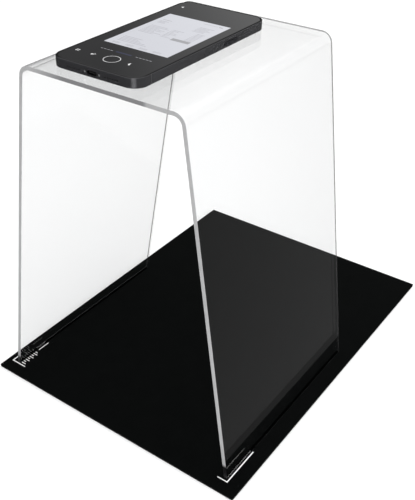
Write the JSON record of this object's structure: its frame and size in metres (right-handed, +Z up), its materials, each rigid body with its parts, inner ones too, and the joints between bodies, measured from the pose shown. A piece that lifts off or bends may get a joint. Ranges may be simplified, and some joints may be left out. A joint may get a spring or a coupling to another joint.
{
  "type": "overhead book scanner",
  "caption": "Flat camera unit resting on a clear bent-acrylic bridge stand over a black page mat with printed corner marks.",
  "frame": {"origin": "on the table, under the middle of the mat's underside", "axes": "+Z up; +X across the page; +Y from the page's front edge to its far edge"},
  "size_m": [0.254, 0.347, 0.3032],
  "materials": {
    "mat_rubber": "matt foam rubber with a fine texture",
    "mat_top": "deep black, fine leather grain",
    "mark_ink": "flat white ink",
    "clear_acrylic": "clear, polished faces and sawn edges",
    "case_metal": "dark grey, fine bead-blasted anodised finish",
    "antenna_plastic": "dark grey, moulded flush",
    "rear_glass": "satin dark back",
    "screen_glass": "polished dark glass over the picture",
    "black_seal": "soft adhesive gasket",
    "panel_black": "display module",
    "flex_film": "amber polyimide film with copper tracks",
    "board_green": "solder mask with tracks",
    "shield_tin": "tinned, fine brushed",
    "chip_black": "moulded epoxy",
    "screw_steel": "bright machined",
    "battery_wrap": "black foil pouch",
    "socket_steel": "nickel plated",
    "black_plastic": "moulded",
    "mesh_black": "woven acoustic mesh",
    "motor_steel": "drawn can",
    "brass_bush": "sintered",
    "tungsten": "dull sintered",
    "button_metal": "dark grey, fine bead-blasted anodised finish",
    "switch_silver": "stamped",
    "card_gold": "card with contacts",
    "ring_metal": "turned, dark anodised",
    "lens_glass": "coated, polished",
    "sensor_blue": "silicon under glass",
    "coil_copper": "enamelled winding",
    "flash_diffuser": "frosted",
    "led_yellow": "phosphor"
  },
  "bodies": {
    "mat": {"mat_base": "mat_rubber", "mat_surface": "mat_top", "alignment_marks": "mark_ink"},
    "stand": {"acrylic_stand": "clear_acrylic"},
    "unit": {"unit_frame": "case_metal", "antenna_bands": "antenna_plastic", "rear_cover": "rear_glass", "cover_glass": "screen_glass", "display_seal": "black_seal", "display_panel": "panel_black", "display_flex": "flex_film", "main_board": "board_green", "shield_cans": "shield_tin", "board_chips": "chip_black", "board_screws": "screw_steel", "battery": "battery_wrap", "battery_lead": "flex_film", "socket_board": "board_green", "link_flex": "flex_film", "usb_shell": "socket_steel", "usb_tongue": "black_plastic", "port_bracket": "screw_steel", "port_screws": "screw_steel", "loudspeaker": "black_plastic", "grille_mesh": "mesh_black", "microphone": "shield_tin", "motor_can": "motor_steel", "motor_bush": "brass_bush", "button_switches": "switch_silver", "button_brackets": "switch_silver", "sim_reader": "switch_silver", "camera_trim_ring": "ring_metal", "camera_window": "lens_glass", "camera_housing": "black_plastic", "camera_board": "board_green", "image_sensor": "sensor_blue", "flash_window": "flash_diffuser", "flash_led": "led_yellow"},
    "power_key": {"power_button": "button_metal"},
    "volume_up_key": {"volume_up_button": "button_metal"},
    "volume_down_key": {"volume_down_button": "button_metal"},
    "card_tray": {"sim_tray": "case_metal", "sim_card": "card_gold"},
    "lens": {"lens_barrel": "black_plastic", "lens_element": "lens_glass", "focus_coil": "coil_copper"},
    "motor_rotor": {"motor_shaft": "screw_steel", "eccentric_weight": "tungsten"}
  },
  "joints": [
    {"name": "stand_lift", "type": "slide", "parent": "mat", "child": "stand", "axis": [0, 0, 1], "range_m": [0, 0.15]},
    {"name": "unit_lift", "type": "slide", "parent": "stand", "child": "unit", "axis": [0, 0, 1], "range_m": [0, 0.12]},
    {"name": "power_press", "type": "slide", "parent": "unit", "child": "power_key", "axis": [-1, 0, 0], "range_m": [0, 0.0003], "stiffness_N_per_m": 2000},
    {"name": "volume_up_press", "type": "slide", "parent": "unit", "child": "volume_up_key", "axis": [1, 0, 0], "range_m": [0, 0.0003], "stiffness_N_per_m": 2000},
    {"name": "volume_down_press", "type": "slide", "parent": "unit", "child": "volume_down_key", "axis": [1, 0, 0], "range_m": [0, 0.0003], "stiffness_N_per_m": 2000},
    {"name": "card_tray_slide", "type": "slide", "parent": "unit", "child": "card_tray", "axis": [-1, 0, 0], "range_m": [0, 0.02]},
    {"name": "focus_travel", "type": "slide", "parent": "unit", "child": "lens", "axis": [0, 0, -1], "range_m": [0, 0.0003], "stiffness_N_per_m": 200},
    {"name": "motor_spin", "type": "hinge", "parent": "unit", "child": "motor_rotor", "pos_m": [-0.0352, -0.1363, 0.2989], "axis": [1, 0, 0], "continuous": true}
  ]
}
